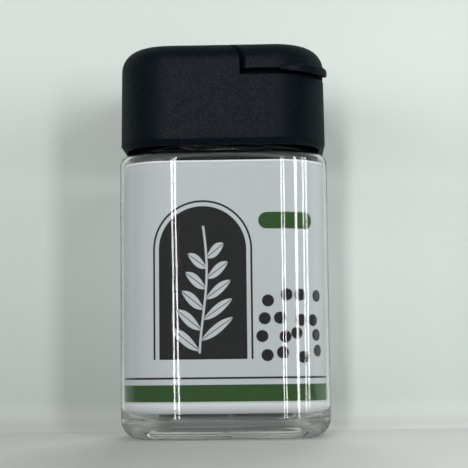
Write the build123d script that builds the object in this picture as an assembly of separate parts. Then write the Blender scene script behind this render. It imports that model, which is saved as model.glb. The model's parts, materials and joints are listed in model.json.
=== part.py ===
from build123d import *
import math
import os

# Square seasoning bottle with a screw cap and two corner flaps, one over a pour hole and one over
# shaker holes. Millimetres, Z up, origin at the centre of the base, front of the bottle towards -Y.

# Bottle
bottle_width = 54.0
bottle_corner_radius = 13.5
bottle_wall = 0.7
base_thickness = 3.2
base_edge_radius = 5.2
inner_base_radius = 4.7
standing_ring_width = 3.3
push_up_depth = 1.6
push_up_edge_radius = 1.0
shoulder_height = 73.2
shoulder_radius = 2.8
neck_height = 14.7
neck_wall = 1.5
neck_root_radius = 0.8
rim_radius = 0.4

# Printed card curled inside the bottle
card_thickness = 0.25
card_wall_gap = 0.3
card_foot_gap = 0.25
card_head_gap = 2.3
card_slit = 1.0

# Sealing ring between the neck's rim and the cap
seal_thickness = 1.35
seal_collar_gap = 0.3

# Screw cap's outer shell
cap_inset = 0.3
cap_foot_gap = 1.05
cap_draft = 0.28
cap_wall = 1.6
cap_top_radius = 5.5
cap_foot_bevel = 1.15
cap_foot_bevel_height = 1.55
edge_break = 0.3
slot_half = 14.9
slot_wall = 1.5
ledge_thickness = 1.5
snap_depth = 0.45
snap_height = 1.2
snap_length = 6.0
snap_offset = 11.5
snap_gap = 0.1

# Inner cap, with the thread collar, the sealing plate and the raised dispensing island
plate_thickness = 1.5
plate_gap = 0.1
collar_skirt_gap = 0.35
collar_wall = 1.5
collar_foot_gap = 1.4
collar_lead_in = 0.5
thread_gap = 1.6
island_wall = 1.5
island_corner_radius = 2.0
island_edge_radius = 0.8
island_side_gap = 0.5
island_end_gap = 1.7
island_ledge_gap = 0.1
throat_step = 0.7
deck_depth = 3.8

# Dispensing holes
pour_hole_radius = 4.0
pour_hole_offset = 14.0
pour_lip_radius = 0.5
shaker_hole_count = 8
shaker_hole_radius = 1.0
shaker_ring_offset = 14.8
shaker_ring_short = 2.9
shaker_ring_long = 6.2

# Lid moulding: centre strip, two thin hinge webs and two flaps
strip_half = 5.6
strip_thickness = 1.6
strip_leg = 1.5
strip_end_gap = 0.2
post_radius = 1.6
post_offset = 8.0
post_depth = 2.9
post_gap = 0.1
post_end_gap = 0.3
boss_wall = 1.4
web_width = 1.2
web_thickness = 0.45
web_recess = 0.15
flap_wall = 1.5
flap_height = 7.4
flap_side_gap = 0.7
flap_rim_gap = 1.35
seal_rib_wall = 1.0
seal_rib_margin = 1.2
seal_rib_gap = 0.3
lip_reach = 2.9
lip_half_width = 8.2
lip_rise = 1.0
lip_drop = 1.4
lip_end_drop = 0.2
lip_top_radius = 0.8
lip_foot_radius = 0.25

# The flaps open on the diagonal from the back left corner to the front right one.
diagonal_angle = -45.0

# Heights
rim_z = shoulder_height + neck_height
plate_z = rim_z + seal_thickness
ledge_foot_z = plate_z + plate_thickness
ledge_z = ledge_foot_z + ledge_thickness
flap_rim_z = ledge_z + flap_rim_gap
top_z = flap_rim_z + flap_height
deck_z = top_z - deck_depth
cap_foot_z = shoulder_height + cap_foot_gap
collar_foot_z = shoulder_height + collar_foot_gap

# Bottle and cap outlines
bottle_half = bottle_width / 2
bottle_inner_half = bottle_half - bottle_wall
bottle_inner_corner = bottle_corner_radius - bottle_wall
cap_half = bottle_half - cap_inset
cap_corner_radius = bottle_corner_radius - cap_inset
cap_height = top_z - cap_foot_z
draft_angle = math.degrees(math.atan2(cap_draft, cap_height))
beyond = 2 * (bottle_width + top_z)
touch = 0.001


def draft_at(height):
    """How far the cap's sides have drawn in at a height."""
    return cap_draft * (height - cap_foot_z) / cap_height


# Round pieces under the cap, from the skirt inwards to the mouth of the bottle
plate_half = cap_half - cap_wall - draft_at(ledge_foot_z) - plate_gap
plate_corner_radius = cap_corner_radius - cap_wall - plate_gap
collar_outer = cap_half - cap_wall - draft_at(plate_z) - collar_skirt_gap
collar_inner = collar_outer - collar_wall
neck_radius = collar_inner - thread_gap
bore_radius = neck_radius - neck_wall
throat_radius = bore_radius - throat_step

# Lid sizes across the diagonal
flap_half = slot_half - flap_side_gap
island_half = flap_half - flap_wall - island_side_gap
island_inset = flap_wall + island_end_gap
flap_edge = strip_half + web_width
strip_end = slot_half - strip_end_gap


def rounded_square(half, corner_radius, height):
    """A flat rounded square at a height, given by half its width."""
    return Pos(0, 0, height) * RectangleRounded(2 * half, 2 * half, corner_radius)


def column(radius, low, high):
    """An upright cylinder on the Z axis between two heights."""
    return Pos(0, 0, low) * Cylinder(radius, high - low, align=(Align.CENTER, Align.CENTER, Align.MIN))


def on_diagonal(shape):
    """Turns a shape drawn along X so that it lies along the lid's diagonal."""
    return Rot(0, 0, diagonal_angle) * shape


def slab(along_low, along_high, half, low, high):
    """A block lying along the diagonal, centred across it."""
    block = Box(along_high - along_low, 2 * half, high - low)
    return on_diagonal(Pos((along_low + along_high) / 2, 0, (low + high) / 2) * block)


def highest_edges(shape):
    """The edges round the topmost face."""
    return shape.faces().sort_by(Axis.Z)[-1].edges()


def lowest_edges(shape):
    """The edges round the lowest face."""
    return shape.faces().sort_by(Axis.Z)[0].edges()


def along_diagonal(point):
    """How far a point lies along the lid's diagonal, towards the pour flap."""
    return point.dot(Vector(1, 0, 0).rotate(Axis.Z, diagonal_angle))


def off_diagonal(point):
    """How far a point lies to either side of the lid's diagonal."""
    return abs(point.dot(Vector(0, 1, 0).rotate(Axis.Z, diagonal_angle)))


def lies_at(edge, measure, value):
    """Whether an edge keeps to one value of a measure from end to end."""
    return all(abs(measure(edge @ part) - value) < touch for part in (0, 0.5, 1))


def height_of(point):
    """A point's height."""
    return point.Z


def cap_form(inset, top, edge_radius):
    """The cap's drafted form with its rounded top edge, drawn in on every side by an inset."""
    foot = rounded_square(cap_half - inset, cap_corner_radius - inset, cap_foot_z)
    block = extrude(foot, amount=top - cap_foot_z, taper=draft_angle)
    return fillet(highest_edges(block), edge_radius)


def island_outline(inset, half, height):
    """The island's plan: a rounded square, drawn in by an inset and cut to a band along the diagonal."""
    reach = cap_half - draft_at(ledge_z) - inset
    square = rounded_square(reach, cap_corner_radius - inset, height)
    return square & on_diagonal(Pos(0, 0, height) * Rectangle(beyond, 2 * half))


def make_bottle():
    """The clear bottle: square body, thick pushed-up base, flat shoulder and round neck."""
    body = extrude(rounded_square(bottle_half, bottle_corner_radius, 0), shoulder_height)
    body = fillet(lowest_edges(body), base_edge_radius)
    body = fillet(highest_edges(body), shoulder_radius)
    body += column(neck_radius, shoulder_height - bottle_wall, rim_z)
    root = body.edges().filter_by(GeomType.CIRCLE).filter_by(lambda edge: edge.radius == neck_radius)
    body = fillet(root.sort_by(Axis.Z)[0], neck_root_radius)

    inside_height = shoulder_height - bottle_wall - base_thickness
    inside = extrude(rounded_square(bottle_inner_half, bottle_inner_corner, base_thickness), inside_height)
    inside = fillet(lowest_edges(inside), inner_base_radius)
    inside = fillet(highest_edges(inside), shoulder_radius - bottle_wall)

    push_up_half = bottle_half - base_edge_radius - standing_ring_width
    push_up_corner = bottle_corner_radius - base_edge_radius - standing_ring_width
    push_up = extrude(rounded_square(push_up_half, push_up_corner, 0), push_up_depth)
    push_up = fillet(highest_edges(push_up), push_up_edge_radius)

    body = body - inside - column(bore_radius, shoulder_height / 2, rim_z + neck_height) - push_up
    return fillet(highest_edges(body), rim_radius)


def make_card():
    """The printed card, curled round the inside of the wall with its slit at the back."""
    card_half = bottle_inner_half - card_wall_gap
    card_corner = bottle_inner_corner - card_wall_gap
    seat_rise = inner_base_radius - math.sqrt(inner_base_radius**2 - (inner_base_radius - card_wall_gap) ** 2)
    foot = base_thickness + seat_rise + card_foot_gap
    head = shoulder_height - bottle_wall - card_head_gap
    outline = rounded_square(card_half, card_corner, foot)
    outline -= rounded_square(card_half - card_thickness, card_corner - card_thickness, foot)
    outline -= Pos(0, card_half, foot) * Rectangle(card_slit, card_corner)
    return extrude(outline, head - foot)


def make_sealing_ring():
    """The soft ring that the inner cap presses on the neck's rim."""
    return column(collar_inner - seal_collar_gap, rim_z, plate_z) - column(bore_radius, rim_z, plate_z)


def make_snap():
    """One snap wedge on the inside of the skirt, at the right of the front face."""
    catch_z = plate_z - snap_gap
    wall_y = -(cap_half - cap_wall - draft_at(catch_z))
    buried_y = wall_y - cap_wall / 2
    corners = [
        (buried_y, catch_z),
        (wall_y + snap_depth, catch_z),
        (wall_y, catch_z - snap_height),
        (buried_y, catch_z - snap_height),
    ]
    profile = Plane.YZ * make_face(Polyline(*corners, close=True))
    return Pos(snap_offset - snap_length / 2, 0, 0) * extrude(profile, snap_length)


def make_cap_shell():
    """The outer cap: square skirt, two closed corners and the open diagonal slot between them."""
    outer = cap_form(0, top_z, cap_top_radius)
    foot = outer.faces().sort_by(Axis.Z)[0]
    bevel = min(cap_foot_bevel, 0.75 * cap_wall)
    outer = chamfer(foot.edges(), bevel, cap_foot_bevel_height, reference=foot)
    outer -= slab(-beyond, beyond, slot_half, ledge_z, beyond)
    wall_edges = outer.edges().filter_by(
        lambda edge: lies_at(edge, off_diagonal, slot_half) and not lies_at(edge, height_of, ledge_z)
    )
    ledge_edges = outer.edges().filter_by(
        lambda edge: lies_at(edge, height_of, ledge_z) and not lies_at(edge, off_diagonal, slot_half)
    )
    outer = fillet(wall_edges + ledge_edges, edge_break)
    inside = cap_form(cap_wall, top_z - cap_wall, cap_top_radius - cap_wall)
    skirt_space = inside & slab(-beyond, beyond, beyond, 0, ledge_foot_z)
    corner_space = inside - slab(-beyond, beyond, slot_half + slot_wall, 0, beyond)
    opening = extrude(
        island_outline(island_inset - island_ledge_gap, island_half + island_ledge_gap, 0), beyond
    )
    shell = outer - skirt_space - corner_space - opening
    snap = make_snap()
    for quarter in range(4):
        shell += Rot(0, 0, 90 * quarter) * snap
        shell += Rot(0, 0, 90 * quarter) * mirror(snap, about=Plane.YZ)
    return shell


def shaker_places():
    """Centres of the shaker holes, on an oval ring whose long side lies across the diagonal."""
    turns = [2 * math.pi * (index + 0.5) / shaker_hole_count for index in range(shaker_hole_count)]
    return [
        Pos(-shaker_ring_offset + shaker_ring_short * math.cos(turn), shaker_ring_long * math.sin(turn), 0)
        for turn in turns
    ]


def make_inner_cap():
    """The inner cap: collar, sealing plate and hollow island with its holes and two post sockets."""
    plate = extrude(rounded_square(plate_half, plate_corner_radius, plate_z), plate_thickness)
    collar = column(collar_outer, collar_foot_z, plate_z) - column(collar_inner, collar_foot_z, plate_z)
    collar = chamfer(lowest_edges(collar).sort_by(SortBy.LENGTH)[0], collar_lead_in)
    island = extrude(island_outline(island_inset, island_half, ledge_foot_z), deck_z - ledge_foot_z)
    island = fillet(island.edges().filter_by(Axis.Z).sort_by(Axis.X), island_corner_radius)
    island = fillet(highest_edges(island), island_edge_radius)

    ceiling_z = deck_z - island_wall
    throat = slab(-beyond, beyond, island_half - island_wall, 0, ceiling_z) & column(throat_radius, 0, ceiling_z)
    cap = plate + collar + island - throat

    socket_foot_z = deck_z - post_depth - post_end_gap
    for side in (-1, 1):
        place = on_diagonal(Pos(0, side * post_offset, 0))
        boss = column(post_radius + post_gap + boss_wall, socket_foot_z - boss_wall, ceiling_z)
        cap += place * boss
        cap -= place * column(post_radius + post_gap, socket_foot_z, top_z)

    cap -= on_diagonal(Pos(pour_hole_offset, 0, 0) * column(pour_hole_radius, 0, top_z))
    for place in shaker_places():
        cap -= on_diagonal(place * column(shaker_hole_radius, 0, top_z))
    mouth = cap.edges().filter_by(GeomType.CIRCLE).filter_by(
        lambda edge: lies_at(edge, height_of, deck_z) and abs(edge.radius - pour_hole_radius) < touch
    )
    return fillet(mouth, pour_lip_radius)


def make_hinge_strip():
    """The fixed middle of the lid: a plate on two legs, held by two posts in the island."""
    strip = slab(-strip_half, strip_half, strip_end, top_z - strip_thickness, top_z)
    strip += slab(-strip_half, strip_half, island_half, deck_z, top_z)
    leg_edge = strip_half - strip_leg
    strip -= slab(-leg_edge, leg_edge, beyond, 0, top_z - strip_thickness)
    for side in (-1, 1):
        post = column(post_radius, deck_z - post_depth, top_z - strip_thickness / 2)
        strip += on_diagonal(Pos(0, side * post_offset, 0)) * post
    ends = strip.edges().filter_by(
        lambda edge: lies_at(edge, height_of, top_z) and lies_at(edge, off_diagonal, strip_end)
    )
    return fillet(ends, edge_break)


def make_web():
    """The thin web that joins the strip to a flap and bends as the flap opens."""
    web_top_z = top_z - web_recess
    return slab(strip_half, flap_edge, flap_half, web_top_z - web_thickness, web_top_z)


def make_lip():
    """The thumb lip about a flap's corner: round in plan and on top, hanging lower towards its tip."""
    half = cap_half - draft_at(flap_rim_z)
    tip = math.sqrt(2) * (half - cap_corner_radius) + cap_corner_radius + lip_reach
    end = math.sqrt(2) * half - lip_half_width
    centre = (tip**2 - end**2 - lip_half_width**2) / (2 * (tip - end))
    disc = Pos(centre, 0, 0) * column(tip - centre, ledge_foot_z, flap_rim_z + lip_rise)
    disc = fillet(highest_edges(disc), lip_top_radius)
    slope = math.degrees(math.atan2(lip_drop - lip_end_drop, tip - end))
    block = Box(beyond, beyond, beyond, align=(Align.CENTER, Align.CENTER, Align.MAX))
    lip = disc - Pos(end, 0, flap_rim_z - lip_end_drop) * Rot(0, slope, 0) * block
    lip -= Pos(end - beyond / 2, 0, beyond / 2) * block
    lip = fillet(lowest_edges(lip).sort_by(SortBy.LENGTH)[-1], lip_foot_radius)
    inside = extrude(rounded_square(half - flap_wall, cap_corner_radius - flap_wall, 0), beyond)
    under_rim = extrude(rounded_square(half, cap_corner_radius, 0), flap_rim_z)
    return on_diagonal(lip) - inside - under_rim


def make_flap(rib_outer, rib_inner):
    """A corner flap on the front right: thin shell, side walls, thumb lip and sealing rib."""
    outer = cap_form(0, top_z, cap_top_radius) & slab(flap_edge, beyond, flap_half, flap_rim_z, beyond)
    free_edges = outer.edges().filter_by(
        lambda edge: not lies_at(edge, along_diagonal, flap_edge)
        and (lies_at(edge, off_diagonal, flap_half) or lies_at(edge, height_of, flap_rim_z))
    )
    outer = fillet(free_edges, edge_break)
    hollow = cap_form(flap_wall, top_z - flap_wall, cap_top_radius - flap_wall)
    hollow = hollow & slab(-beyond, beyond, flap_half - flap_wall, 0, beyond)
    rib_z = deck_z + seal_rib_gap
    rib = on_diagonal(Pos(0, 0, rib_z) * (rib_outer - rib_inner))
    return outer - hollow + make_lip() + extrude(rib, top_z - flap_wall - rib_z)


def make_pour_flap():
    """The flap with a round sealing rib about the pour hole."""
    place = Pos(pour_hole_offset, 0, 0)
    inner_radius = pour_hole_radius + seal_rib_margin
    return make_flap(place * Circle(inner_radius + seal_rib_wall), place * Circle(inner_radius))


def make_shaker_flap():
    """The flap with an oval sealing rib about the shaker holes, on the back left corner."""
    place = Pos(shaker_ring_offset, 0, 0)
    margin = shaker_hole_radius + seal_rib_margin
    short = shaker_ring_short + margin
    long = shaker_ring_long + margin
    outer = place * Ellipse(short + seal_rib_wall, long + seal_rib_wall)
    return Rot(0, 0, 180) * make_flap(outer, place * Ellipse(short, long))


parts = {
    "bottle_body": make_bottle(),
    "label_card": make_card(),
    "sealing_ring": make_sealing_ring(),
    "cap_shell": make_cap_shell(),
    "inner_cap": make_inner_cap(),
    "hinge_strip": make_hinge_strip(),
    "pour_hinge_web": make_web(),
    "shaker_hinge_web": Rot(0, 0, 180) * make_web(),
    "pour_flap": make_pour_flap(),
    "shaker_flap": make_shaker_flap(),
}

os.makedirs("parts", exist_ok=True)
for name, shape in parts.items():
    export_step(shape, f"parts/{name}.step")
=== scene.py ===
"""Looks of a square seasoning bottle with a two-flap screw cap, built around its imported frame."""

import json
import logging
import math
from dataclasses import dataclass
from enum import Enum
from typing import Union

import bmesh
import bpy
from mathutils import Matrix, Vector

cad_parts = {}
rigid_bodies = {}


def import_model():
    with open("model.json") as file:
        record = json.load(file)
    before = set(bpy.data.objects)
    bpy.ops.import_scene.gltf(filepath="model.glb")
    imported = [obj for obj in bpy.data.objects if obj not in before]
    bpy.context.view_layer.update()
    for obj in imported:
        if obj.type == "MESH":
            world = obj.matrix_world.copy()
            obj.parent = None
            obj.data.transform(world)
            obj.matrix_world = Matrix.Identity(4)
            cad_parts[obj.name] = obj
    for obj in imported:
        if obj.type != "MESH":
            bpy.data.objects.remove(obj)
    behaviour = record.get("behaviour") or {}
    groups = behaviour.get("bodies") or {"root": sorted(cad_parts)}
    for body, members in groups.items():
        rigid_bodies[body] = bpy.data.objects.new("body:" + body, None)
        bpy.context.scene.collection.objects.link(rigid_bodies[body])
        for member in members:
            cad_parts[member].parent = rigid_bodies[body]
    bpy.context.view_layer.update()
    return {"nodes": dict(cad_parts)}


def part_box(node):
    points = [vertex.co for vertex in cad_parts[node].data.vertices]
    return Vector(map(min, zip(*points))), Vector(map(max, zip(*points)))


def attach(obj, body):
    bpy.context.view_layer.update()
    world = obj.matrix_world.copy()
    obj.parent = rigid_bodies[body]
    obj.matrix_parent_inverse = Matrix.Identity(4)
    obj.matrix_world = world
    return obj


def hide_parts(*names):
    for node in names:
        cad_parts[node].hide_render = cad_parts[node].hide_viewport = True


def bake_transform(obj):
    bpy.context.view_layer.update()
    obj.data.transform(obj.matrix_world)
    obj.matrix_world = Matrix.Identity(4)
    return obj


LOG = logging.getLogger("seasoning_bottle")
MM = 0.001
DIAGONAL = math.radians(-45)
Colour = tuple[float, float, float]
Socket = bpy.types.NodeSocket
Value = Union[float, tuple, Socket]
# Places of a Mix node's share, its two colours and its mixed colour among its sockets
MIX_SHARE = 0
MIX_UNDER = 6
MIX_OVER = 7
MIX_RESULT = 2


class Maths(Enum):
    """The arithmetic that the finishes and the studio need."""

    ADD = "ADD"
    SUBTRACT = "SUBTRACT"
    MULTIPLY = "MULTIPLY"
    DIVIDE = "DIVIDE"
    LARGER = "MAXIMUM"
    SMALLER = "MINIMUM"
    BELOW = "LESS_THAN"
    ABSOLUTE = "ABSOLUTE"
    ROOT = "SQRT"
    SINE = "SINE"
    REMAINDER = "FLOORED_MODULO"


class Turn(Enum):
    """The two flaps' directions, as turns about the bottle's axis from the X axis."""

    POUR = DIAGONAL
    SHAKER = DIAGONAL + math.pi


class Reach(Enum):
    """What a lamp acts on."""

    MATTE = "only the shading of matte surfaces"
    STANDING = "only the shading of what stands on the floor, the part and the backdrop"
    GROUND = "the part and the floor, but not the backdrop"
    PART = "the whole part, but not the studio"
    SHEEN = "only what the cap's grained plastic mirrors"
    CLEAR = "only what the clear plastic mirrors"


class NodeSheet:
    """A node tree, with short calls that add and join nodes."""

    def __init__(self, tree: bpy.types.NodeTree) -> None:
        """Takes the tree that the calls work on."""
        self.tree = tree

    def feed(self, target: Socket, value: Value) -> None:
        """Links a socket to an input, or sets a plain value on it.

        Args:
            target: the input.
            value: the socket that feeds it, or its plain value.
        """
        if isinstance(value, Socket):
            self.tree.links.new(value, target)
        else:
            target.default_value = value

    def add(self, kind: str, **inputs: Value) -> bpy.types.Node:
        """Adds a node and fills its inputs.

        Args:
            kind: Blender's identifier of the node.
            inputs: values or sockets by input name, with _ for a space.

        Returns:
            The new node.
        """
        node = self.tree.nodes.new(kind)
        for name, value in inputs.items():
            self.feed(node.inputs[name.replace("_", " ")], value)
        return node

    def maths(self, operation: Maths, first: Value, second: Value = 0.0, clamp: bool = False) -> Socket:
        """Adds one arithmetic node.

        Args:
            operation: what it does.
            first: its first number.
            second: its second number, where it takes two.
            clamp: whether the result is kept between 0 and 1.

        Returns:
            The result.
        """
        node = self.tree.nodes.new("ShaderNodeMath")
        node.operation = operation.value
        node.use_clamp = clamp
        self.feed(node.inputs[0], first)
        self.feed(node.inputs[1], second)
        return node.outputs[0]

    def noise(self, vector: Socket, scale: float, detail: float) -> Socket:
        """Adds a noise texture and returns its value."""
        return self.add("ShaderNodeTexNoise", Vector=vector, Scale=scale, Detail=detail).outputs["Fac"]

    def blend(self, share: Value, under: Value, over: Value) -> Socket:
        """Lays one colour over another.

        Args:
            share: how much of the upper colour covers the lower one, from 0 to 1.
            under: the lower colour.
            over: the upper colour.

        Returns:
            The mixed colour.
        """
        node = self.tree.nodes.new("ShaderNodeMix")
        node.data_type = "RGBA"
        self.feed(node.inputs[MIX_SHARE], share)
        self.feed(node.inputs[MIX_UNDER], under)
        self.feed(node.inputs[MIX_OVER], over)
        return node.outputs[MIX_RESULT]

    def within(self, distance: Value, limit: Value, softness: float = 0.1) -> Socket:
        """Returns 1 where a distance is under a limit, with an edge as soft as given."""
        short = self.maths(Maths.SUBTRACT, limit, distance)
        return self.maths(Maths.ADD, self.maths(Maths.DIVIDE, short, softness), 0.5, clamp=True)

    def between(self, value: Socket, low: Value, high: Value) -> Socket:
        """Returns 1 where a value lies between two limits."""
        return self.maths(Maths.MULTIPLY, self.within(low, value), self.within(value, high))

    def limited(self, value: Socket, low: float, high: float) -> Socket:
        """Returns a value kept between two limits."""
        return self.maths(Maths.LARGER, self.maths(Maths.SMALLER, value, high), low)

    def scatter(self, share: Value, middle: float, spread: float) -> Socket:
        """Returns a value that varies by a spread about a middle, as a 0 to 1 share does."""
        return self.maths(Maths.ADD, self.maths(Maths.MULTIPLY, share, spread), middle - spread / 2)


class MaterialSheet(NodeSheet):
    """The node tree of a new material with one Principled shader."""

    def __init__(self, name: str) -> None:
        """Starts the material.

        Args:
            name: name of the material.
        """
        self.material = bpy.data.materials.new(name)
        self.material.use_nodes = True
        super().__init__(self.material.node_tree)
        self.shader = self.tree.nodes["Principled BSDF"]

    def place(self) -> Socket:
        """Returns the object's own coordinates, in metres."""
        return self.add("ShaderNodeTexCoord").outputs["Object"]

    def place_axis(self, axis: int) -> Socket:
        """Returns one of the object's own coordinates."""
        return self.add("ShaderNodeSeparateXYZ", Vector=self.place()).outputs[axis]

    def tinted(self, colour: Value, strength: Socket) -> Socket:
        """Multiplies a colour by a strength that varies.

        Args:
            colour: the colour at a strength of 1.
            strength: the strength.

        Returns:
            The colour at that strength.
        """
        node = self.tree.nodes.new("ShaderNodeVectorMath")
        node.operation = "SCALE"
        self.feed(node.inputs["Vector"], colour)
        self.feed(node.inputs["Scale"], strength)
        return node.outputs["Vector"]

    def bump(self, height: Socket, depth: float) -> None:
        """Raises the surface by a height field, depth metres from low to high."""
        node = self.add("ShaderNodeBump", Height=height, Distance=depth, Strength=1.0)
        self.feed(self.shader.inputs["Normal"], node.outputs["Normal"])


def opaque(colour: Colour) -> tuple[float, float, float, float]:
    """Returns a colour with full alpha."""
    return (*colour, 1.0)


def shade(colour: Colour, factor: float) -> tuple[float, float, float, float]:
    """Returns an opaque colour times a factor."""
    return opaque(tuple(factor * channel for channel in colour))


@dataclass(frozen=True)
class GrainedPlastic:
    """Matte plastic with the fine spark-eroded grain of a moulded cap."""

    name: str
    colour: Colour
    roughness: float
    grain_scale: float
    grain_depth: float
    gloss: float
    gloss_spread: float = 2.0
    cloud_size: float = 40.0
    tone_range: tuple[float, float] = (0.7, 1.3)
    roughness_spread: float = 0.14

    def material(self) -> bpy.types.Material:
        """Makes the finish.

        Returns:
            The material.
        """
        sheet = MaterialSheet(self.name)
        shader = sheet.shader
        place = sheet.place()
        grain = sheet.noise(place, self.grain_scale, detail=2.0)
        cloud = sheet.noise(place, self.grain_scale / self.cloud_size, detail=3.0)
        tone = sheet.maths(Maths.MULTIPLY, sheet.maths(Maths.ADD, grain, cloud), 0.5)
        dark, light = (shade(self.colour, factor) for factor in self.tone_range)
        sheet.feed(shader.inputs["Base Color"], sheet.blend(tone, dark, light))
        sheet.feed(shader.inputs["Roughness"], sheet.scatter(cloud, self.roughness, self.roughness_spread))
        sparkle = sheet.scatter(grain, self.gloss, self.gloss_spread * self.gloss)
        shader.inputs["Specular IOR Level"].default_value = self.gloss
        sheet.feed(shader.inputs["Specular IOR Level"], sparkle)
        sheet.bump(grain, self.grain_depth)
        return sheet.material


@dataclass(frozen=True)
class ClearPlastic:
    """Clear glossy plastic whose walls wave a little, as moulded walls do, with faint scuffs."""

    name: str
    colour: Colour
    roughness: float
    ior: float
    wave_scale: float
    wave_depth: float
    scuff_scale: float = 400.0

    def material(self) -> bpy.types.Material:
        """Makes the finish.

        Returns:
            The material.
        """
        sheet = MaterialSheet(self.name)
        shader = sheet.shader
        place = sheet.place()
        shader.inputs["Base Color"].default_value = opaque(self.colour)
        scuffs = sheet.noise(place, self.scuff_scale, detail=4.0)
        sheet.feed(shader.inputs["Roughness"], sheet.scatter(scuffs, self.roughness, self.roughness))
        shader.inputs["IOR"].default_value = self.ior
        shader.inputs["Transmission Weight"].default_value = 1.0
        sheet.bump(sheet.noise(place, self.wave_scale, detail=1.0), self.wave_depth)
        return sheet.material


@dataclass(frozen=True)
class SoftSeal:
    """Pale soft plastic of the sealing ring."""

    name: str
    colour: Colour
    roughness: float
    roughness_spread: float = 0.15
    mottle_scale: float = 900.0
    mottle_shade: float = 0.85
    mottle_depth: float = 0.02 * MM

    def material(self) -> bpy.types.Material:
        """Makes the finish.

        Returns:
            The material.
        """
        sheet = MaterialSheet(self.name)
        inputs = sheet.shader.inputs
        mottle = sheet.noise(sheet.place(), self.mottle_scale, detail=3.0)
        dark, light = shade(self.colour, self.mottle_shade), opaque(self.colour)
        sheet.feed(inputs["Base Color"], sheet.blend(mottle, dark, light))
        sheet.feed(inputs["Roughness"], sheet.scatter(mottle, self.roughness, self.roughness_spread))
        sheet.bump(mottle, self.mottle_depth)
        return sheet.material


@dataclass(frozen=True)
class PlainCard:
    """Unprinted card, with its fibres."""

    name: str
    paper: Colour
    roughness: float = 0.7
    roughness_spread: float = 0.12
    gloss: float = 0.04
    fibre_scale: float = 2500.0
    fibre_depth: float = 0.008 * MM
    fibre_range: tuple[float, float] = (0.95, 1.03)

    def ground(self, sheet: MaterialSheet) -> Socket:
        """Sets the card's roughness and fibre relief.

        Args:
            sheet: the card's material.

        Returns:
            The card's ground colour.
        """
        inputs = sheet.shader.inputs
        fibre = sheet.noise(sheet.place(), self.fibre_scale, detail=4.0)
        sheet.feed(inputs["Roughness"], sheet.scatter(fibre, self.roughness, self.roughness_spread))
        inputs["Specular IOR Level"].default_value = self.gloss
        sheet.bump(fibre, self.fibre_depth)
        dark, light = (shade(self.paper, factor) for factor in self.fibre_range)
        return sheet.blend(fibre, dark, light)

    def material(self) -> bpy.types.Material:
        """Makes the finish.

        Returns:
            The material.
        """
        sheet = MaterialSheet(self.name)
        sheet.feed(sheet.shader.inputs["Base Color"], self.ground(sheet))
        return sheet.material


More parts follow.
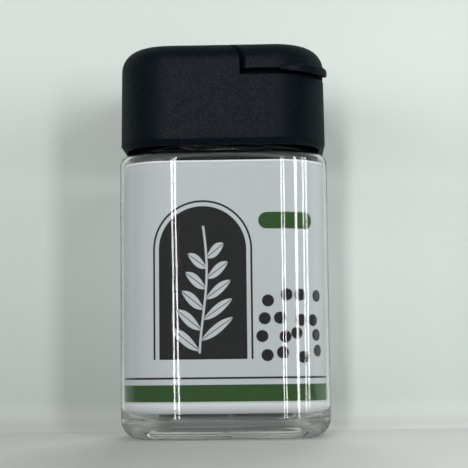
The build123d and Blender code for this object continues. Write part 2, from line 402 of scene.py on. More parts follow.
@dataclass(frozen=True)
class PrintedCard(PlainCard):
    """Card with a plain printed design of a herb sprig and peppercorns, drawn on a map in millimetres."""

    charcoal: Colour = (0.008, 0.0085, 0.009)
    green: Colour = (0.02, 0.065, 0.012)
    arch_middle: float = -5.0
    arch_half: float = 11.0
    arch_foot: float = 13.5
    arch_spring: float = 41.0
    sprig_foot: float = 16.0
    sprig_head: float = 47.0
    bare_foot: float = 1.0
    bare_head: float = 6.0
    sway_rate: float = 0.13
    stem_half: float = 0.28
    leaf_pitch: float = 5.2
    leaf_slope: float = 0.75
    leaf_half: float = 1.55
    leaf_length: float = 8.0
    leaf_shrink: float = 0.55
    rib_half: float = 0.12
    stripe: tuple[float, float] = (3.0, 7.2)
    fine_line: tuple[float, float] = (8.6, 9.1)
    # Paler bands along the foot and the top edge of the card: painted light that offsets the shade near the
    # foot, and a painted highlight along the top edge
    painted_band_limits: tuple[float, float] = (2.6, 63.3)
    painted_light_foot: Colour = (0.62, 0.65, 0.66)
    painted_highlight_top: Colour = (0.8, 0.82, 0.82)
    outline: tuple[float, float] = (12.0, 12.5)
    bar_middle: tuple[float, float] = (16.2, 48.2)
    bar_half: float = 5.0
    bar_radius: float = 2.1
    corns: tuple[float, float, float, float] = (9.0, 25.5, 13.5, 33.0)
    corn_pitch: float = 4.6
    corn_scatter: float = 0.5
    corn_radius: float = 0.33
    corn_softness: float = 0.03
    side_pitch: float = 46.6

    @staticmethod
    def far(sheet: NodeSheet, across: Socket, up: Socket) -> Socket:
        """Returns the distance from zero of a place given by two measures."""
        squares = sheet.maths(
            Maths.ADD, sheet.maths(Maths.MULTIPLY, across, across), sheet.maths(Maths.MULTIPLY, up, up)
        )
        return sheet.maths(Maths.ROOT, squares)

    def rounded_bar(self, sheet: NodeSheet, across: Socket, up: Socket) -> Socket:
        """Draws a level bar with round ends.

        Args:
            sheet: the card's material.
            across: place across the card, in millimetres.
            up: place up the card, in millimetres.

        Returns:
            The bar's share of the ink.
        """
        middle, height = self.bar_middle
        aside = sheet.maths(Maths.ABSOLUTE, sheet.maths(Maths.SUBTRACT, across, middle))
        past = sheet.maths(Maths.LARGER, sheet.maths(Maths.SUBTRACT, aside, self.bar_half), 0.0)
        return sheet.within(self.far(sheet, past, sheet.maths(Maths.SUBTRACT, up, height)), self.bar_radius)

    def side_sprigs(self, sheet: NodeSheet, across: Socket, up: Socket) -> Socket:
        """Draws a sprig in the middle of each of the two sides.

        Args:
            sheet: the card's material.
            across: place across the card, in millimetres.
            up: place up the card, in millimetres.

        Returns:
            The sprigs' share of the ink.
        """
        half = self.side_pitch / 2
        turned = sheet.maths(Maths.REMAINDER, sheet.maths(Maths.ADD, across, half), self.side_pitch)
        beside = sheet.maths(Maths.SUBTRACT, turned, half)
        on_side = sheet.between(sheet.maths(Maths.ABSOLUTE, across), half, self.side_pitch + half)
        return sheet.maths(Maths.MULTIPLY, self.sprig(sheet, beside, up), on_side)

    def sprig(self, sheet: NodeSheet, across: Socket, up: Socket) -> Socket:
        """Draws a sprig with leaves on both sides of its stem.

        Args:
            sheet: the card's material.
            across: place across the card from the stem, in millimetres.
            up: place up the card, in millimetres.

        Returns:
            The sprig's share of the ink.
        """
        sway = sheet.maths(Maths.SINE, sheet.maths(Maths.MULTIPLY, up, self.sway_rate))
        aside = sheet.maths(Maths.ADD, across, sway)
        out = sheet.maths(Maths.ABSOLUTE, aside)
        left = sheet.maths(Maths.MULTIPLY, sheet.maths(Maths.BELOW, aside, 0.0), self.leaf_pitch / 2)
        root = sheet.maths(Maths.SUBTRACT, up, sheet.maths(Maths.MULTIPLY, out, self.leaf_slope))
        root = sheet.maths(Maths.ADD, root, left)
        cell = sheet.maths(Maths.REMAINDER, root, self.leaf_pitch)
        from_rib = sheet.maths(Maths.ABSOLUTE, sheet.maths(Maths.SUBTRACT, cell, self.leaf_pitch / 2))
        rise = sheet.maths(Maths.SUBTRACT, root, self.sprig_foot)
        shrink = sheet.maths(Maths.MULTIPLY, rise, self.leaf_shrink / (self.sprig_head - self.sprig_foot))
        length = sheet.maths(Maths.MULTIPLY, sheet.maths(Maths.SUBTRACT, 1.0, shrink), self.leaf_length)
        part = sheet.maths(Maths.DIVIDE, out, length)
        bulge = sheet.maths(Maths.MULTIPLY, part, sheet.maths(Maths.SUBTRACT, 1.0, part))
        # The bulge is a quarter where the leaf is widest
        half = sheet.maths(Maths.MULTIPLY, bulge, 4 * self.leaf_half)
        leaf = sheet.within(from_rib, half)
        rib = sheet.within(from_rib, self.rib_half)
        leaf = sheet.maths(Maths.MULTIPLY, leaf, sheet.maths(Maths.SUBTRACT, 1.0, rib))
        in_leaf = sheet.between(root, self.sprig_foot, self.sprig_head - self.bare_head)
        leaf = sheet.maths(Maths.MULTIPLY, leaf, in_leaf)
        along = sheet.between(up, self.sprig_foot - self.bare_foot, self.sprig_head)
        stem = sheet.maths(Maths.MULTIPLY, sheet.within(out, self.stem_half), along)
        return sheet.maths(Maths.LARGER, leaf, stem)

    def arch(self, sheet: NodeSheet, beside: Socket, up: Socket) -> tuple[Socket, Socket]:
        """Draws a panel with a round head, and a fine line round it.

        Args:
            sheet: the card's material.
            beside: place across the card from the panel's middle, in millimetres.
            up: place up the card, in millimetres.

        Returns:
            The panel's share of the ink, and the line's.
        """
        above = sheet.maths(Maths.LARGER, sheet.maths(Maths.SUBTRACT, up, self.arch_spring), 0.0)
        off_spring = self.far(sheet, beside, above)
        over_foot = sheet.within(self.arch_foot, up)
        panel = sheet.maths(Maths.MULTIPLY, sheet.within(off_spring, self.arch_half), over_foot)
        line = sheet.maths(Maths.MULTIPLY, sheet.between(off_spring, *self.outline), over_foot)
        return panel, line

    def peppercorns(self, sheet: NodeSheet, spot: Socket) -> Socket:
        """Scatters round corns over a patch of the card.

        Args:
            sheet: the card's material.
            spot: place on the card, in millimetres.

        Returns:
            The corns' share of the ink.
        """
        pitch, scatter = self.corn_pitch, self.corn_scatter
        cells = sheet.add("ShaderNodeTexVoronoi", Vector=spot, Scale=1 / pitch, Randomness=scatter)
        cells.voronoi_dimensions = "2D"
        low, high, foot, head = self.corns
        middle = sheet.add("ShaderNodeSeparateXYZ", Vector=cells.outputs["Position"]).outputs
        in_width, in_height = sheet.between(middle[0], low, high), sheet.between(middle[1], foot, head)
        disc = sheet.within(cells.outputs["Distance"], self.corn_radius, self.corn_softness)
        return sheet.maths(Maths.MULTIPLY, disc, sheet.maths(Maths.MULTIPLY, in_width, in_height))

    def material(self) -> bpy.types.Material:
        """Makes the finish.

        Returns:
            The material.
        """
        sheet = MaterialSheet(self.name)
        chart = sheet.add("ShaderNodeUVMap")
        chart.uv_map = LabelCard.chart
        spot = chart.outputs[0]
        parts = sheet.add("ShaderNodeSeparateXYZ", Vector=spot).outputs
        across, up = parts[0], parts[1]
        ground = self.ground(sheet)
        beside = sheet.maths(Maths.SUBTRACT, across, self.arch_middle)
        panel, line = self.arch(sheet, beside, up)
        ink = sheet.blend(sheet.maths(Maths.LARGER, panel, line), ground, opaque(self.charcoal))
        sprig = sheet.maths(Maths.MULTIPLY, self.sprig(sheet, beside, up), panel)
        ink = sheet.blend(sprig, ink, ground)
        bar, stripe = self.rounded_bar(sheet, across, up), sheet.between(up, *self.stripe)
        greens = sheet.maths(Maths.LARGER, bar, stripe)
        greens = sheet.maths(Maths.LARGER, greens, self.side_sprigs(sheet, across, up))
        ink = sheet.blend(greens, ink, opaque(self.green))
        ink = sheet.blend(sheet.between(up, *self.fine_line), ink, opaque(self.charcoal))
        ink = sheet.blend(self.peppercorns(sheet, spot), ink, opaque(self.charcoal))
        # Painted light along the card's foot and a painted highlight along its top edge
        ink = sheet.blend(sheet.within(up, self.painted_band_limits[0]), ink, opaque(self.painted_light_foot))
        ink = sheet.blend(sheet.within(self.painted_band_limits[1], up), ink, opaque(self.painted_highlight_top))
        sheet.feed(sheet.shader.inputs["Base Color"], ink)
        return sheet.material


def dress(piece: bpy.types.Object, *materials: bpy.types.Material) -> None:
    """Gives an object its materials, slot by slot.

    Args:
        piece: the object.
        materials: its materials, the last one for any slots left over.
    """
    while len(piece.material_slots) < len(materials):
        piece.data.materials.append(None)
    for index, material_slot in enumerate(piece.material_slots):
        material_slot.material = materials[min(index, len(materials) - 1)]


def lit_group(reach: Reach) -> bpy.types.Collection:
    """Returns the pieces that a lamp of limited reach acts on, as a collection made when first asked for."""
    return bpy.data.collections.get(reach.name) or bpy.data.collections.new(reach.name)


def finished_object(name: str, bm: bmesh.types.BMesh, smooth: bool = False) -> bpy.types.Object:
    """Turns a bmesh into an object at the origin and links it.

    Args:
        name: name of the piece.
        bm: the shape, which is freed.
        smooth: whether its faces shade smoothly.

    Returns:
        The new object.
    """
    for face in bm.faces:
        face.smooth = smooth
    mesh = bpy.data.meshes.new(name)
    bm.to_mesh(mesh)
    bm.free()
    piece = bpy.data.objects.new(name, mesh)
    bpy.context.scene.collection.objects.link(piece)
    return piece


@dataclass(frozen=True)
class ThreadRidge:
    """A thread's helical ridge, repeated for each start. Lengths in metres, angles in degrees."""

    root_radius: float
    crest_radius: float
    root_half: float = 0.95 * MM
    crest_half: float = 0.5 * MM
    foot: float = 78.6 * MM
    lead: float = 8.0 * MM
    starts: int = 2
    turn: float = 290.0
    steps: int = 116
    run_out: float = 0.09
    flank_share: float = 1.25
    crest_share: float = 0.6
    least_stand: float = 0.02
    angle_slack: float = 0.01

    def add_to(self, bm: bmesh.types.BMesh, start: float) -> None:
        """Adds the ridge to a bmesh.

        Args:
            bm: the bmesh that takes the ridge.
            start: the angle at which it starts.
        """
        middle = (self.root_radius + self.crest_radius) / 2
        flank, crest = self.crest_half * self.flank_share, self.crest_half * self.crest_share
        profile = (
            (self.root_radius, -self.root_half),
            (middle, -flank),
            (self.crest_radius, -crest),
            (self.crest_radius, crest),
            (middle, flank),
            (self.root_radius, self.root_half),
        )
        before = set(bm.verts)
        corners = [bm.verts.new((radius, 0, height)) for radius, height in profile]
        ring = [bm.edges.new((corners[index - 1], corners[index])) for index in range(len(corners))]
        step_rise = self.lead * self.turn / 360 / self.steps
        bmesh.ops.spin(
            bm, geom=corners + ring, cent=(0, 0, 0), axis=(0, 0, 1), dvec=(0, 0, step_rise),
            angle=math.radians(self.turn), steps=self.steps, use_merge=False, use_duplicate=False,
        )
        verts = [vert for vert in bm.verts if vert not in before]
        for vert in verts:
            done = (math.degrees(math.atan2(vert.co.y, vert.co.x)) + self.angle_slack) % 360 / self.turn
            stand = min(1.0, max(self.least_stand, min(done, 1 - done) / self.run_out))
            radius = math.hypot(vert.co.x, vert.co.y)
            kept = (self.root_radius + (radius - self.root_radius) * stand) / radius
            vert.co.x *= kept
            vert.co.y *= kept
        bmesh.ops.holes_fill(bm, edges=[edge for edge in bm.edges if edge.is_boundary], sides=len(profile))
        bmesh.ops.rotate(bm, verts=verts, cent=(0, 0, 0), matrix=Matrix.Rotation(math.radians(start), 3, "Z"))
        bmesh.ops.translate(bm, verts=verts, vec=(0, 0, self.foot))

    def piece(self, name: str, start: float) -> bpy.types.Object:
        """Makes all of a thread's ridges as one object.

        Args:
            name: name of the piece.
            start: angle at which the first one starts.

        Returns:
            The new object.
        """
        bm = bmesh.new()
        for index in range(self.starts):
            self.add_to(bm, start + index * 360 / self.starts)
        bmesh.ops.recalc_face_normals(bm, faces=bm.faces)
        return finished_object(name, bm, smooth=True)


@dataclass
class ClearBottle:
    """The clear bottle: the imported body, its neck thread and the gate mark under its base."""

    finish: ClearPlastic
    thread: ThreadRidge
    gate_radius: float = 1.3 * MM
    gate_height: float = 0.35 * MM
    gate_taper: float = 0.8
    gate_segments: int = 32
    push_up: float = 1.6 * MM

    def build(self, nodes: dict[str, bpy.types.Object]) -> list[bpy.types.Object]:
        """Dresses the body and adds the thread and the gate mark.

        Args:
            nodes: the frame's nodes by name.

        Returns:
            The new pieces.
        """
        clear = self.finish.material()
        pieces = [self.thread.piece("neck_thread", start=0.0), self.gate_mark()]
        for piece in pieces:
            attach(piece, "bottle")
        for piece in (nodes["bottle_body"], *pieces):
            dress(piece, clear)
            # The clear wall keeps no light from the card behind it
            piece.visible_shadow = False
            piece.visible_diffuse = False
            lit_group(Reach.CLEAR).objects.link(piece)
        return pieces

    def gate_mark(self) -> bpy.types.Object:
        """Makes the small round nub left by moulding, in the middle of the pushed-up base.

        Returns:
            The new object.
        """
        bm = bmesh.new()
        bmesh.ops.create_cone(
            bm, cap_ends=True, segments=self.gate_segments, radius1=self.gate_taper * self.gate_radius,
            radius2=self.gate_radius, depth=self.gate_height,
        )
        bmesh.ops.translate(bm, verts=bm.verts, vec=(0, 0, self.push_up - self.gate_height / 2))
        return finished_object("gate_mark", bm)


@dataclass
class LabelCard:
    """The printed card curled round the inside of the bottle. Lengths in metres."""

    printed: PrintedCard
    plain: PlainCard
    half: float = 26.0 * MM
    corner: float = 12.5 * MM
    slit: float = 1.0 * MM
    thickness: float = 0.25 * MM
    columns: int = 260
    rows: int = 28
    ripple: float = 0.05 * MM
    ripple_rates: tuple[float, float, float] = (37.0, 2.0, 5.0)
    chart: str = "print"

    def wall_place(self, along: float) -> tuple[Vector, Vector]:
        """Finds a place on the card's outer face.

        Args:
            along: distance round the card from the middle of the front, positive to the right.

        Returns:
            The place and the direction out of the card, both level.
        """
        straight = self.half - self.corner
        quarter = 2 * straight + math.pi / 2 * self.corner
        sides, left = divmod(abs(along) + straight, quarter)
        bend = max(0.0, left - 2 * straight) / self.corner
        out = Vector((math.sin(bend), -math.cos(bend), 0))
        place = Vector((min(left, 2 * straight) - straight, -straight, 0)) + self.corner * out
        turn = Matrix.Rotation(sides * math.pi / 2, 3, "Z")
        flip = Vector((math.copysign(1, along), 1, 1))
        return (turn @ place) * flip, (turn @ out) * flip

    def build(self) -> list[bpy.types.Object]:
        """Curls a flat sheet round the bottle's wall, with its slit at the back.

        Returns:
            The new pieces.
        """
        low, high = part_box("label_card")
        straight = self.half - self.corner
        width = 8 * straight + 2 * math.pi * self.corner - self.slit
        height = high.z - low.z
        round_rate, skew_rate, up_rate = self.ripple_rates
        bm = bmesh.new()
        bmesh.ops.create_grid(bm, x_segments=self.columns, y_segments=self.rows, size=0.5)
        chart = bm.loops.layers.uv.new(self.chart)
        for face in bm.faces:
            for loop in face.loops:
                across, up, _ = loop.vert.co
                loop[chart].uv = (across * width / MM, (up + 0.5) * height / MM)
        for vert in bm.verts:
            across, up, _ = vert.co
            place, out = self.wall_place(across * width)
            wave = math.sin(across * round_rate + skew_rate * up) * math.cos(up * up_rate)
            vert.co = place + out * (self.ripple * (wave - 1)) + Vector((0, 0, low.z + (up + 0.5) * height))
        bm.normal_update()
        if sum(face.normal.dot(face.calc_center_median()) for face in bm.faces) < 0:
            bmesh.ops.reverse_faces(bm, faces=bm.faces)
        card = finished_object("printed_card", bm, smooth=True)
        wall = card.modifiers.new("thickness", "SOLIDIFY")
        wall.thickness = self.thickness
        wall.offset = -1.0
        wall.material_offset = 1
        wall.material_offset_rim = 1
        dress(card, self.printed.material(), self.plain.material())
        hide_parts("label_card")
        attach(card, "bottle")
        return [card]


@dataclass
class ScrewCap:
    """The screw cap: outer shell, inner cap with its thread, and sealing ring."""

    shell: GrainedPlastic
    inner: GrainedPlastic
    seal: SoftSeal
    thread: ThreadRidge

    def build(self, nodes: dict[str, bpy.types.Object]) -> list[bpy.types.Object]:
        """Dresses the cap's nodes and adds the thread in its collar.

        Args:
            nodes: the frame's nodes by name.

        Returns:
            The new pieces.
        """
        inner = self.inner.material()
        dress(nodes["cap_shell"], self.shell.material())
        lit_group(Reach.SHEEN).objects.link(nodes["cap_shell"])
        dress(nodes["inner_cap"], inner)
        dress(nodes["sealing_ring"], self.seal.material())
        thread = self.thread.piece("collar_thread", start=90.0)
        dress(thread, inner)
        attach(thread, "cap")
        return [thread]


@dataclass
class FlipLid:
    """The lid moulding: centre strip, two hinge webs and two flaps. Lengths in metres."""

    finish: GrainedPlastic
    strip_half: float = 5.6 * MM
    web_width: float = 1.2 * MM
    web_half: float = 14.2 * MM
    web_thickness: float = 0.45 * MM
    web_waist: float = 0.6
    web_middle: float = 100.625 * MM
    folds: int = 9

    def build(self, nodes: dict[str, bpy.types.Object]) -> list[bpy.types.Object]:
        """Dresses the strip and the flaps and makes the two webs.

        Args:
            nodes: the frame's nodes by name.

        Returns:
            The new pieces.
        """
        material = self.finish.material()
        for name in ("hinge_strip", "pour_flap", "shaker_flap"):
            dress(nodes[name], material)
            lit_group(Reach.SHEEN).objects.link(nodes[name])
        pieces = []
        for turn, flap in ((Turn.POUR, "pour_flap"), (Turn.SHAKER, "shaker_flap")):
            web = self.web(flap.replace("flap", "web"), turn)
            dress(web, material)
            lit_group(Reach.SHEEN).objects.link(web)
            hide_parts(flap.replace("flap", "hinge_web"))
            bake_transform(web)
            pieces.append(web)
        return pieces

    def web(self, name: str, turn: Turn) -> bpy.types.Object:
        """Makes one web, thinner along its middle, where the real hinge bends.

        Args:
            name: name of the piece.
            turn: the flap's direction.

        Returns:
            The new object.
        """
        bm = bmesh.new()
        bmesh.ops.create_cube(bm, size=1.0)
        bmesh.ops.scale(bm, verts=bm.verts, vec=(self.web_width, 2 * self.web_half, self.web_thickness))
        half = self.web_width / 2
        across = [edge for edge in bm.edges if abs(edge.verts[0].co.x - edge.verts[1].co.x) > half]
        bmesh.ops.subdivide_edges(bm, edges=across, cuts=self.folds, use_grid_fill=True)
        for vert in bm.verts:
            off = abs(vert.co.x) / half
            vert.co.z *= self.web_waist + (1 - self.web_waist) * off * off
        bmesh.ops.translate(bm, verts=bm.verts, vec=(self.strip_half + half, 0, self.web_middle))
        bmesh.ops.rotate(bm, verts=bm.verts, cent=(0, 0, 0), matrix=Matrix.Rotation(turn.value, 3, "Z"))
        return finished_object(name, bm)


@dataclass(frozen=True)
class StripLight:
    """A strip light that faces the bottle. Lengths in metres, angles in degrees."""

    name: str
    azimuth: float
    width: float
    radiance: float
    foot: float = -0.03
    head: float = 0.55
    distance: float = 1.0
    lean: float = 0.0
    reach: Reach = Reach.MATTE

    def stand(self) -> None:
        """Stands the lamp in the scene, facing the bottle."""
        lamp = bpy.data.lights.new(self.name, "AREA")
        lamp.shape = "RECTANGLE"
        lamp.size = self.width
        lamp.size_y = self.head - self.foot
        lamp.energy = self.radiance * math.pi * lamp.size * lamp.size_y
        strip = bpy.data.objects.new(self.name, lamp)
        angle = math.radians(self.azimuth)
        out = Vector((math.sin(angle), -math.cos(angle), 0))
        place = out * self.distance + Vector((0, 0, (self.foot + self.head) / 2))
        turn = out.to_track_quat("Z", "Y").to_matrix() @ Matrix.Rotation(math.radians(self.lean), 3, "Z")
        strip.matrix_world = Matrix.Translation(place) @ turn.to_4x4()
        strip.visible_camera = False
        strip.visible_diffuse = self.reach is not Reach.SHEEN
        mirrored = self.reach not in (Reach.MATTE, Reach.STANDING)
        strip.visible_glossy = mirrored
        strip.visible_transmission = mirrored
        if self.reach is not Reach.MATTE:
            strip.light_linking.receiver_collection = lit_group(self.reach)
        bpy.context.scene.collection.objects.link(strip)


@dataclass
class Studio:
    """Camera, floor, backdrop and lights. Lengths in metres, angles in radians."""

    strips: tuple[StripLight, ...]
    # Camera
    camera_at: tuple[float, float, float] = (0.012396, -0.362763, 0.016510)
    pitch: float = 0.103
    yaw: float = -0.028
    roll: float = -0.011
    lens_mm: float = 103.57
    sensor_mm: float = 36.0
    clip_start: float = 10.0 * MM
    # Floor and backdrop
    floor_reach: float = 0.6
    wall_reach: float = 3.0
    wall_gap: float = 5.0 * MM
    wall_height: float = 1.2
    cove_radius: float = 9.5 * MM
    cove_lift: float = 0.1 * MM
    cove_steps: int = 16
    # How bright they look, with the painted shade and light of their tone
    pale: Colour = (0.70, 0.76, 0.72)
    pale_roughness: float = 0.9
    floor_pale: Colour = (0.70, 0.722, 0.693)
    tint_height: float = 10.0 * MM
    # Painted shade of the studio surfaces, falling off downwards, less so on the right
    low_tone: float = 0.87
    tone_rise: float = 1.5
    tone_height: float = 0.05
    tone_right: float = 3.2
    side_height: float = 0.16
    tone_span: tuple[float, float] = (-0.02, 0.06)
    # Painted light where the floor lies flat
    floor_light: float = 0.45
    least_light: float = 0.1
    flat_gain: float = 1.5
    # Painted light on the floor, rising towards the camera
    floor_gain: float = 1.2
    floor_rise: float = 1.4
    floor_span: tuple[float, float] = (-0.03, 0.12)
    # What the bottle mirrors, catches and shows of them
    mirror_reach: float = 0.12
    floor_bounce: float = 0.07
    backdrop_bounce: float = 0.3
    # A painted shadow under the bottle's middle, on the floor seen through the clear plastic
    floor_through: float = 0.65
    floor_middle: float = 0.02
    floor_blur: float = 0.01
    low_glow: float = 0.25
    glow_height: float = 0.03
    # Light from all round
    world_tint: Colour = (0.95, 1.0, 0.98)
    world_light: float = 0.16
    world_sheen: float = 0.03
    world_through: float = 0.45
    world_view: float = 0.75
    bounces: int = 24

    def build(self, back: float) -> None:
        """Sets up the whole studio.

        Args:
            back: Y of the bottle's back.
        """
        self.place_camera()
        self.lay_floor()
        self.hang_backdrop(back)
        self.light_world()
        for strip in self.strips:
            strip.stand()
        scene = bpy.context.scene
        scene.view_settings.view_transform = "Standard"
        scene.cycles.max_bounces = self.bounces
        scene.cycles.glossy_bounces = self.bounces
        scene.cycles.transmission_bounces = self.bounces

    def place_camera(self) -> None:
        """Sets the camera at the photograph's viewing angle."""
        level = math.cos(self.pitch)
        ahead = Vector((math.sin(self.yaw) * level, math.cos(self.yaw) * level, math.sin(self.pitch)))
        right = Vector((math.cos(self.yaw), -math.sin(self.yaw), 0.0))
        up = right.cross(ahead)
        turned_right = math.cos(self.roll) * right + math.sin(self.roll) * up
        turned_up = math.cos(self.roll) * up - math.sin(self.roll) * right
        lens = bpy.data.cameras.new("photo_camera")
        lens.lens = self.lens_mm
        lens.sensor_width = self.sensor_mm
        lens.sensor_fit = "HORIZONTAL"
        lens.clip_start = self.clip_start
        camera = bpy.data.objects.new("photo_camera", lens)
        turn = Matrix((turned_right, turned_up, -ahead)).transposed().to_4x4()
        camera.matrix_world = Matrix.Translation(self.camera_at) @ turn
        bpy.context.scene.collection.objects.link(camera)
        bpy.context.scene.camera = camera

    @staticmethod
    def inside_ray(sheet: NodeSheet) -> Socket:
        """Tells which rays come through the clear plastic, however they turned inside it.

        Args:
            sheet: the node tree of a studio surface or of the world.

        Returns:
            1 for such a ray and 0 for any other.
        """
        path = sheet.add("ShaderNodeLightPath").outputs
        entered = sheet.maths(Maths.SMALLER, path["Transmission Depth"], 1.0)
        return sheet.maths(Maths.MULTIPLY, entered, sheet.maths(Maths.SUBTRACT, 1.0, path["Is Diffuse Ray"]))

    def tone(self, sheet: MaterialSheet) -> Socket:
        """Works out a studio surface's tone, a painted shade which falls off a little downwards, less so on
        the right.

        Args:
            sheet: the surface's material.

        Returns:
            The tone.
        """
        up = sheet.place_axis(2)
        height = sheet.maths(Maths.SMALLER, up, self.tone_height)
        aside = sheet.limited(sheet.place_axis(0), *self.tone_span)
        side = sheet.maths(Maths.MULTIPLY, aside, self.tone_right)
        below = sheet.maths(Maths.SUBTRACT, 1.0, sheet.maths(Maths.DIVIDE, up, self.side_height), clamp=True)
        upward = sheet.maths(Maths.ADD, sheet.maths(Maths.MULTIPLY, height, self.tone_rise), self.low_tone)
        return sheet.maths(Maths.ADD, upward, sheet.maths(Maths.MULTIPLY, side, below))

    def evened_tone(self, sheet: MaterialSheet) -> Socket:
        """Works out a studio surface's tone, with painted light that raises it where it lies flat, so that it
        looks as it does upright.

        Args:
            sheet: the surface's material.

        Returns:
            The tone.
        """
        normal = sheet.add("ShaderNodeNewGeometry").outputs["Normal"]
        facing = sheet.add("ShaderNodeSeparateXYZ", Vector=normal).outputs
        flat = sheet.maths(Maths.MULTIPLY, facing[2], self.floor_light)
        lit = sheet.maths(Maths.LARGER, sheet.maths(Maths.SUBTRACT, flat, facing[1]), self.least_light)
        gain = sheet.limited(sheet.maths(Maths.DIVIDE, 1.0, lit), 1.0, self.flat_gain)
        return sheet.maths(Maths.MULTIPLY, self.tone(sheet), gain)

    def paint(self, sheet: MaterialSheet, tone: Socket, glowing: Socket, bounce: float) -> None:
        """Paints a studio surface, which shows its own tone but throws less light back at the bottle.

        Args:
            sheet: the surface's material.
            tone: how bright it looks.
            glowing: share of the faint glow that it has through the clear plastic.
            bounce: share of light that it throws back.
        """
        inputs = sheet.shader.inputs
        inside = self.inside_ray(sheet)
        direct = sheet.add("ShaderNodeLightPath").outputs["Is Camera Ray"]
        seen = sheet.maths(Maths.LARGER, direct, inside)
        risen = sheet.maths(Maths.DIVIDE, sheet.place_axis(2), self.tint_height, clamp=True)
        paper = sheet.blend(risen, opaque(self.floor_pale), opaque(self.pale))
        colour = sheet.blend(seen, shade(self.pale, bounce), sheet.tinted(paper, tone))
        sheet.feed(inputs["Base Color"], colour)
        glow = sheet.maths(Maths.MULTIPLY, sheet.maths(Maths.MULTIPLY, inside, glowing), self.low_glow)
        inputs["Emission Color"].default_value = opaque(self.pale)
        sheet.feed(inputs["Emission Strength"], glow)
        inputs["Roughness"].default_value = self.pale_roughness
        inputs["Specular IOR Level"].default_value = 0.0

    @staticmethod
    def clear_behind(sheet: MaterialSheet, unseen: Value) -> None:
        """Makes a studio surface clear from behind.

        Args:
            sheet: the surface's material.
            unseen: 1 where it is clear from in front too.
        """
        behind = sheet.add("ShaderNodeNewGeometry").outputs["Backfacing"]
        hidden = sheet.maths(Maths.LARGER, unseen, behind)
        clear = sheet.add("ShaderNodeBsdfTransparent").outputs[0]
        mix = sheet.tree.nodes.new("ShaderNodeMixShader")
        for target, value in zip(mix.inputs, (hidden, sheet.shader.outputs[0], clear)):
            sheet.feed(target, value)
        sheet.feed(sheet.tree.nodes["Material Output"].inputs["Surface"], mix.outputs[0])

    def floor_material(self) -> bpy.types.Material:
        """Makes the floor's finish, with a painted shadow under the bottle's middle where it is seen through
        the clear plastic, and painted light towards the camera. Well in front it isn't mirrored, so it hides
        no lamp's lower end.

        Returns:
            The material.
        """
        sheet = MaterialSheet("pale_floor")
        ahead = sheet.maths(Maths.MULTIPLY, sheet.place_axis(1), -1.0)
        aside = sheet.maths(Maths.ABSOLUTE, sheet.place_axis(0))
        # Painted shadow: seen through the clear plastic, the floor is darker under the bottle's middle
        middle = sheet.within(aside, self.floor_middle, self.floor_blur)
        through = sheet.maths(Maths.MULTIPLY, self.inside_ray(sheet), middle)
        painted_shadow = sheet.maths(Maths.MULTIPLY, through, self.floor_through - 1.0)
        tone = sheet.maths(Maths.MULTIPLY, self.evened_tone(sheet), sheet.maths(Maths.ADD, painted_shadow, 1.0))
        # Painted light: the floor grows lighter towards the camera
        rise = sheet.maths(Maths.MULTIPLY, sheet.limited(ahead, *self.floor_span), self.floor_rise)
        tone = sheet.maths(Maths.MULTIPLY, tone, sheet.maths(Maths.ADD, rise, self.floor_gain))
        self.paint(sheet, tone, sheet.maths(Maths.SUBTRACT, 1.0, middle), self.floor_bounce)
        mirrored = sheet.add("ShaderNodeLightPath").outputs["Is Glossy Ray"]
        far_ahead = sheet.within(self.mirror_reach, ahead)
        self.clear_behind(sheet, sheet.maths(Maths.MULTIPLY, far_ahead, mirrored))
        return sheet.material

    def backdrop_material(self) -> bpy.types.Material:
        """Makes the backdrop's finish.

        Returns:
            The material.
        """
        sheet = MaterialSheet("pale_backdrop")
        risen = sheet.maths(Maths.DIVIDE, sheet.place_axis(2), self.glow_height)
        low_down = sheet.maths(Maths.SUBTRACT, 1.0, risen, clamp=True)
        self.paint(sheet, self.evened_tone(sheet), low_down, self.backdrop_bounce)
        self.clear_behind(sheet, 0.0)
        return sheet.material

    def lay_floor(self) -> None:
        """Lays the pale floor that the bottle stands on."""
        bm = bmesh.new()
        bmesh.ops.create_grid(bm, x_segments=1, y_segments=1, size=self.floor_reach)
        floor = finished_object("floor", bm)
        dress(floor, self.floor_material())
        lit_group(Reach.GROUND).objects.link(floor)

    def hang_backdrop(self, back: float) -> None:
        """Hangs a pale sheet close behind the bottle, with a cove at its foot.

        The sheet is seen, and takes the bottle's shadow, but keeps no light from the bottle.

        Args:
            back: Y of the bottle's back.
        """
        start = back + self.wall_gap - self.cove_radius
        middle = self.cove_radius + self.cove_lift
        bm = bmesh.new()
        foot = bm.verts.new((-self.wall_reach, start, self.cove_lift))
        bmesh.ops.spin(
            bm, geom=[foot], cent=(0, start, middle), axis=(1, 0, 0), angle=math.pi / 2,
            steps=self.cove_steps, use_merge=False, use_duplicate=False,
        )
        head = max(bm.verts, key=lambda vert: vert.co.z)
        rise = bmesh.ops.extrude_vert_indiv(bm, verts=[head])["verts"]
        bmesh.ops.translate(bm, verts=rise, vec=(0, 0, self.wall_height))
        sweep = bmesh.ops.extrude_edge_only(bm, edges=bm.edges)["geom"]
        far = [item for item in sweep if isinstance(item, bmesh.types.BMVert)]
        bmesh.ops.translate(bm, verts=far, vec=(2 * self.wall_reach, 0, 0))
        bm.normal_update()
        if sum(face.normal.y * face.calc_area() for face in bm.faces) > 0:
            bmesh.ops.reverse_faces(bm, faces=bm.faces)
        wall = finished_object("backdrop", bm, smooth=True)
        wall.visible_shadow = False
        wall.visible_diffuse = False
        dress(wall, self.backdrop_material())
        lit_group(Reach.STANDING).objects.link(wall)

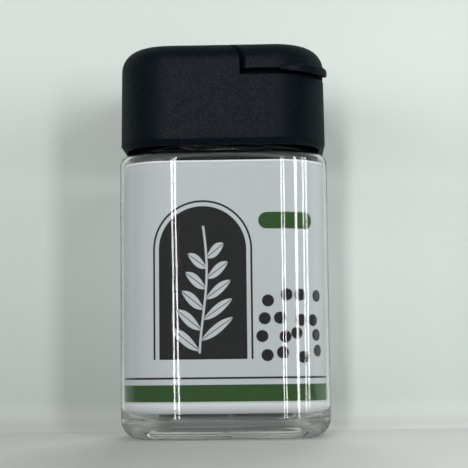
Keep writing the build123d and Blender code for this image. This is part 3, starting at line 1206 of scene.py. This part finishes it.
    def light_world(self) -> None:
        """Sets the even light from all round, at a level of its own for each kind of ray that sees it."""
        world = bpy.data.worlds.new("studio_world")
        bpy.context.scene.world = world
        world.use_nodes = True
        sheet = NodeSheet(world.node_tree)
        path = sheet.add("ShaderNodeLightPath").outputs
        inside = self.inside_ray(sheet)
        sheen = sheet.maths(Maths.MULTIPLY, path["Is Glossy Ray"], sheet.maths(Maths.SUBTRACT, 1.0, inside))
        level = self.world_light
        for ray, own in (
            (sheen, self.world_sheen),
            (inside, self.world_through),
            (path["Is Camera Ray"], self.world_view),
        ):
            step = sheet.maths(Maths.MULTIPLY, ray, own - self.world_light)
            level = sheet.maths(Maths.ADD, level, step)
        light = sheet.tree.nodes["Background"]
        light.inputs["Color"].default_value = opaque(self.world_tint)
        sheet.feed(light.inputs["Strength"], level)


CAP_BLACK = (0.0014, 0.0045, 0.0078)
INNER_BLACK = (0.005, 0.008, 0.012)
BLACK_GRAIN = GrainedPlastic(
    "black_grain", CAP_BLACK, roughness=0.48, grain_scale=2200.0, grain_depth=0.12 * MM, gloss=0.5
)
LID_GRAIN = GrainedPlastic(
    "lid_grain", CAP_BLACK, roughness=0.46, grain_scale=2200.0, grain_depth=0.12 * MM, gloss=0.5
)
INNER_SATIN = GrainedPlastic(
    "inner_satin", INNER_BLACK, roughness=0.5, grain_scale=5000.0, grain_depth=0.01 * MM, gloss=0.25
)
CLEAR = ClearPlastic(
    "clear_plastic", (0.985, 0.995, 0.99), roughness=0.012, ior=1.5, wave_scale=45.0, wave_depth=0.004 * MM
)
PALE_SEAL = SoftSeal("pale_seal", (0.62, 0.62, 0.6), roughness=0.6)
# The unprinted back is paler than the printed ground: painted light that brightens the inside of the bottle
# seen through its clear walls
PLAIN_CARD = PlainCard("plain_card", (0.62, 0.66, 0.67))
PRINTED_CARD = PrintedCard("printed_card", (0.48, 0.515, 0.53))

NECK_THREAD = ThreadRidge(root_radius=21.42 * MM, crest_radius=22.45 * MM)
COLLAR_THREAD = ThreadRidge(root_radius=23.18 * MM, crest_radius=22.05 * MM)

STRIPS = (
    StripLight("key_left", -9.0, 0.08, 23.0),
    StripLight("key_right", 26.0, 0.1, 22.0, head=0.39),
    StripLight("key_side", 50.0, 0.3, 5.2, head=0.39, reach=Reach.STANDING),
    StripLight("fill_left", -60.0, 0.5, 5.0, reach=Reach.STANDING),
    StripLight("fill_right", 80.0, 0.5, 5.0, reach=Reach.STANDING),
    StripLight("sheen_front", -2.0, 0.5, 2.6, foot=0.25, reach=Reach.SHEEN),
    StripLight("line_outer", -4.89, 0.0012, 18.0, lean=0.5, reach=Reach.CLEAR),
    StripLight("line_inner", -4.735, 0.0012, 18.0, lean=0.8, reach=Reach.CLEAR),
    StripLight("strip_right", 14.0, 0.035, 12.0, reach=Reach.CLEAR),
    StripLight("strip_twin", 19.7, 0.035, 12.0, reach=Reach.CLEAR),
    StripLight("strip_side", 46.0, 0.09, 11.0, reach=Reach.CLEAR),
    StripLight("strip_next", 64.0, 0.03, 18.0, reach=Reach.CLEAR),
    StripLight("strip_far", 72.0, 0.04, 14.0, reach=Reach.CLEAR),
    StripLight("strip_back", 177.0, 0.3, 6.5, foot=0.1, head=0.9, reach=Reach.GROUND),
    StripLight("rim_back", 183.0, 0.3, 2.5, foot=0.1, head=0.9, reach=Reach.PART),
)


def clear_scene() -> None:
    """Empties the start-up scene."""
    for item in list(bpy.data.objects):
        bpy.data.objects.remove(item)


def main() -> None:
    """Loads the frame, builds and dresses the pieces, and sets up the studio."""
    logging.basicConfig(level=logging.INFO, format="%(name)s: %(message)s")
    clear_scene()
    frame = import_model()
    nodes = frame["nodes"]
    pieces = [
        *ClearBottle(CLEAR, NECK_THREAD).build(nodes),
        *LabelCard(PRINTED_CARD, PLAIN_CARD).build(),
        *ScrewCap(BLACK_GRAIN, INNER_SATIN, PALE_SEAL, COLLAR_THREAD).build(nodes),
        *FlipLid(LID_GRAIN).build(nodes),
    ]
    for piece in pieces:
        LOG.info("made %s with %d faces", piece.name, len(piece.data.polygons))
    for piece in (*nodes.values(), *pieces):
        for reach in (Reach.STANDING, Reach.GROUND, Reach.PART):
            lit_group(reach).objects.link(piece)
    Studio(STRIPS).build(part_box("bottle_body")[1].y)


if __name__ == "__main__":
    main()
